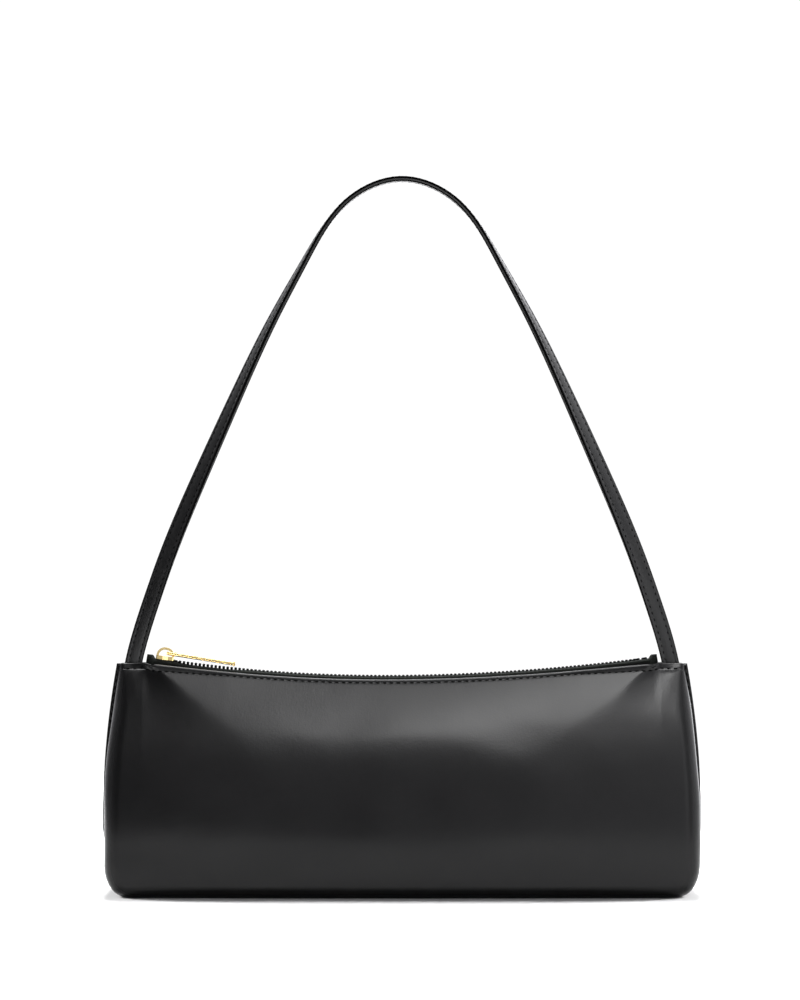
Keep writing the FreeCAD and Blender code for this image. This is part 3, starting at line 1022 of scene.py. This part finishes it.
def add_floor():
    """Pale floor that fades into the background away from the bag."""
    material, tree, shader, place = new_material("floor")
    speck = noise_value(tree, place, 40.0)
    middle = add_node(tree, "ShaderNodeMapping", {"Vector": place, "Scale": (0.9, 0.9, 0.9)}).outputs[0]
    near = add_node(tree, "ShaderNodeTexGradient", {"Vector": middle}, gradient_type="SPHERICAL")
    feed(tree, shader, {
        "Base Color": mixed(tree, speck, grey(0.8), grey(0.82)),
        "Alpha": ranged(tree, near.outputs["Fac"], 0, 3),
        "Roughness": 0.9,
        "Specular IOR Level": 0.1,
    })
    half = 12000
    corners = [(-half, -half, 0), (half, -half, 0), (half, half, 0), (-half, half, 0)]
    floor = add_object("floor", corners, [(0, 1, 2, 3)], [material])


def add_light(name, place, target, size, power, roll=0, for_floor=False):
    """A studio lamp: one that shows as a reflection in the bag, or one for the floor, with none."""
    lamp = bpy.data.lights.new(name, "AREA")
    lamp.shape = "RECTANGLE"
    lamp.size, lamp.size_y = size
    lamp.energy = power
    thing = bpy.data.objects.new(name, lamp)
    bpy.context.scene.collection.objects.link(thing)
    thing.location = place
    thing.rotation_mode = "QUATERNION"
    aim = (Vector(target) - Vector(place)).to_track_quat("-Z", "Y")
    thing.rotation_quaternion = aim @ Quaternion((0, 0, 1), math.radians(roll))
    thing.visible_diffuse = for_floor
    thing.visible_glossy = not for_floor


def add_world():
    """Plain white studio background; what lights the bag from around is a softer grey."""
    world = bpy.data.worlds.new("studio")
    bpy.context.scene.world = world
    world.use_nodes = True
    tree = world.node_tree
    tree.nodes.clear()
    white = add_node(tree, "ShaderNodeBackground", {"Color": (1, 1, 1, 1), "Strength": 1.05})
    heading = add_node(tree, "ShaderNodeTexCoord").outputs["Generated"]
    along = add_node(tree, "ShaderNodeSeparateXYZ", {0: heading}).outputs

    def growing(axis, start, end, low, high):
        inputs = {"Value": along[axis], "From Min": start, "From Max": end, "To Min": low, "To Max": high}
        return add_node(tree, "ShaderNodeMapRange", inputs).outputs["Result"]

    def combined(operation, first, second):
        return add_node(tree, "ShaderNodeMath", {0: first, 1: second}, operation=operation).outputs[0]

    # Brightest to the right of the camera and overhead, then a little from both sides and from behind
    level = combined("SUBTRACT", growing("X", -0.2, 0.3, 0.06, 1.9), growing("X", 0.4, 0.7, 0.0, 1.1))
    level = combined("MULTIPLY", level, growing("Z", 0.0, 0.7, 1.0, 1.3))
    level = combined("ADD", level, growing("X", -0.6, -0.95, 0.0, 0.4))
    level = combined("ADD", level, growing("X", 0.75, 0.95, 0.0, 1.0))
    level = combined("ADD", level, growing("Y", 0.2, 0.8, 0.0, 0.9))
    scattered = add_node(tree, "ShaderNodeLightPath").outputs["Is Diffuse Ray"]
    level = combined("MULTIPLY", level, ranged(tree, scattered, 1.0, 0.12))
    around = add_node(tree, "ShaderNodeBackground", {"Color": (0.97, 0.97, 1, 1), "Strength": level})
    seen = add_node(tree, "ShaderNodeLightPath").outputs["Is Camera Ray"]
    mix = add_node(tree, "ShaderNodeMixShader", {0: seen, 1: around.outputs[0], 2: white.outputs[0]})
    add_node(tree, "ShaderNodeOutputWorld", {"Surface": mix.outputs[0]})


def add_camera():
    camera = bpy.data.cameras.new("camera")
    camera.lens = 158.4
    camera.sensor_width = 36.0
    camera.clip_end = 100.0
    thing = bpy.data.objects.new("camera", camera)
    bpy.context.scene.collection.objects.link(thing)
    thing.location = (-0.001, -2.2, 0.1965)
    thing.rotation_euler = (math.pi / 2, 0, 0)
    bpy.context.scene.camera = thing


box_roll = -14    # degrees
add_floor()
add_world()
add_light("softbox", (0.155, -0.8, 1.2), (0.12, 0, 0.1), (0.31, 0.7), 9.9, box_roll)
add_light("side_box", (0.5, -0.8, 1.2), (0.12, 0, 0.1), (0.34, 0.7), 1.4, box_roll)
add_light("rear_box", (-0.155, 0.8, 1.2), (-0.12, 0, 0.1), (0.31, 0.7), 8.0, box_roll)
add_light("back_light", (0, 0.4, 2.1), (0, 0, 0), (1.8, 0.9), 80.0)
add_light("floor_light", (0, 1.7, 4.3), (0, 0, 0), (1.0, 1.4), 330.0, for_floor=True)
for name, side in (("left", -1), ("right", 1)):
    add_light("floor_fill_" + name, (side * 2.2, 1.1, 1.5), (0, 0, 0), (1.0, 0.8), 115.0, for_floor=True)
add_camera()
bpy.context.scene.view_settings.view_transform = "Standard"
